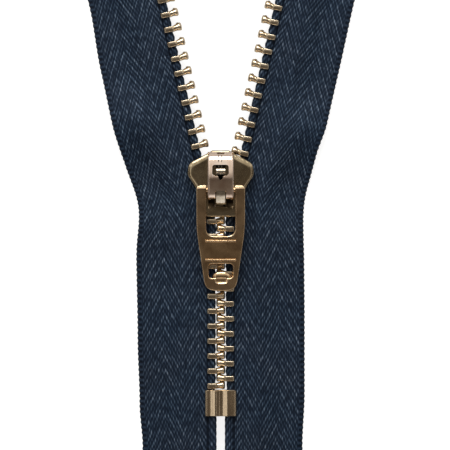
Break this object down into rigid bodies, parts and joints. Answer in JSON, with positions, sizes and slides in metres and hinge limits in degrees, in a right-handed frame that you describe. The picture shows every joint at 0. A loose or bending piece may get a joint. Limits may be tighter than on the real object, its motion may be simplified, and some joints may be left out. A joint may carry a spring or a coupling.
{
  "type": "zipper",
  "caption": "Brass-toothed trouser zipper on navy woven tapes, its locking slider part way up, with two rows of clamped teeth, end stops and a pierced pull tab.",
  "frame": {"origin": "under the middle of the part's box, on the plane it lies on", "axes": "+Z is the zipper's face, +Y is the way the slider closes the chain, x = 0 is the chain's middle line"},
  "size_m": [0.0662, 0.1344, 0.007],
  "materials": {
    "tape_cloth": "navy herringbone twill with a beaded edge",
    "teeth_brass": "antique, polished heads",
    "stop_brass": "antique, satin",
    "slider_brass": "antique, darkened, polished edges",
    "crown_brass": "polished, slightly coppery",
    "spring_steel": "bright",
    "tab_brass": "antique, polished edges"
  },
  "bodies": {
    "lower_chain": {"left_tape_lower": "tape_cloth", "right_tape_lower": "tape_cloth", "bottom_stop": "stop_brass", "left_tooth_01": "teeth_brass", "left_tooth_02": "teeth_brass", "left_tooth_03": "teeth_brass", "left_tooth_04": "teeth_brass", "left_tooth_05": "teeth_brass", "left_tooth_06": "teeth_brass", "left_tooth_07": "teeth_brass", "left_tooth_08": "teeth_brass", "left_tooth_09": "teeth_brass", "left_tooth_10": "teeth_brass", "left_tooth_11": "teeth_brass", "left_tooth_12": "teeth_brass", "left_tooth_13": "teeth_brass", "right_tooth_01": "teeth_brass", "right_tooth_02": "teeth_brass", "right_tooth_03": "teeth_brass", "right_tooth_04": "teeth_brass", "right_tooth_05": "teeth_brass", "right_tooth_06": "teeth_brass", "right_tooth_07": "teeth_brass", "right_tooth_08": "teeth_brass", "right_tooth_09": "teeth_brass", "right_tooth_10": "teeth_brass", "right_tooth_11": "teeth_brass", "right_tooth_12": "teeth_brass"},
    "left_neck": {"left_neck_tooth_1": "teeth_brass", "left_neck_tooth_2": "teeth_brass", "left_neck_tooth_3": "teeth_brass"},
    "left_middle": {"left_tape_middle": "tape_cloth", "left_teeth_middle": "teeth_brass"},
    "left_top": {"left_tape_top": "tape_cloth", "left_top_stop": "stop_brass", "left_top_tooth_1": "teeth_brass", "left_top_tooth_2": "teeth_brass", "left_top_tooth_3": "teeth_brass"},
    "right_neck": {"right_neck_tooth_1": "teeth_brass", "right_neck_tooth_2": "teeth_brass", "right_neck_tooth_3": "teeth_brass"},
    "right_middle": {"right_tape_middle": "tape_cloth", "right_teeth_middle": "teeth_brass"},
    "right_top": {"right_tape_top": "tape_cloth", "right_top_stop": "stop_brass", "right_top_tooth_1": "teeth_brass", "right_top_tooth_2": "teeth_brass", "right_top_tooth_3": "teeth_brass"},
    "slider": {"slider_body": "slider_brass", "crown_cover": "crown_brass"},
    "lock_spring": {"lock_spring": "spring_steel"},
    "pull_tab": {"pull_tab": "tab_brass"}
  },
  "joints": [
    {"name": "slider_travel", "type": "slide", "parent": "lower_chain", "child": "slider", "axis": [0, 1, 0], "range_m": [0, 0.04896], "deforming": ["left_tape_middle", "left_teeth_middle", "left_neck_tooth_1", "left_neck_tooth_2", "left_neck_tooth_3", "left_top_tooth_1", "right_tape_middle", "right_teeth_middle", "right_neck_tooth_1", "right_neck_tooth_2", "right_neck_tooth_3", "right_top_tooth_1"]},
    {"name": "left_neck_turn", "type": "hinge", "parent": "lower_chain", "child": "left_neck", "pos_m": [-0.0017, -0.00913, 0.00215], "axis": [0, 0, -1], "range_deg": [0, 16.01]},
    {"name": "left_middle_turn", "type": "hinge", "parent": "lower_chain", "child": "left_middle", "pos_m": [-0.0033, -0.01154, 0.00215], "axis": [0, 0, -1], "range_deg": [0, 12.91]},
    {"name": "left_top_turn", "type": "hinge", "parent": "left_middle", "child": "left_top", "pos_m": [-0.01321, 0.03889, 0.00215], "axis": [0, 0, 1], "range_deg": [0, 16.01]},
    {"name": "right_neck_turn", "type": "hinge", "parent": "lower_chain", "child": "right_neck", "pos_m": [0.0017, -0.00913, 0.00215], "axis": [0, 0, 1], "range_deg": [0, 16.01]},
    {"name": "right_middle_turn", "type": "hinge", "parent": "lower_chain", "child": "right_middle", "pos_m": [0.0033, -0.01154, 0.00215], "axis": [0, 0, 1], "range_deg": [0, 12.91]},
    {"name": "right_top_turn", "type": "hinge", "parent": "right_middle", "child": "right_top", "pos_m": [0.01321, 0.03889, 0.00215], "axis": [0, 0, -1], "range_deg": [0, 16.01]},
    {"name": "lock_spring_lift", "type": "hinge", "parent": "slider", "child": "lock_spring", "pos_m": [0, -0.00063, 0.00485], "axis": [-1, 0, 0], "range_deg": [0, 2.5], "stiffness_Nm_per_rad": 0.002, "springref_deg": -1.15},
    {"name": "pull_tab_swing", "type": "hinge", "parent": "slider", "child": "pull_tab", "pos_m": [0, -0.00633, 0.00535], "axis": [-1, 0, 0], "range_deg": [0, 180]}
  ],
  "couplings": [
    {"joint": "left_neck_turn", "follows": "slider_travel", "rad_per_m": 5.7037},
    {"joint": "left_middle_turn", "follows": "slider_travel", "rad_per_m": 4.5986},
    {"joint": "left_top_turn", "follows": "slider_travel", "rad_per_m": 5.7037},
    {"joint": "right_neck_turn", "follows": "slider_travel", "rad_per_m": 5.7037},
    {"joint": "right_middle_turn", "follows": "slider_travel", "rad_per_m": 4.5986},
    {"joint": "right_top_turn", "follows": "slider_travel", "rad_per_m": 5.7037}
  ]
}
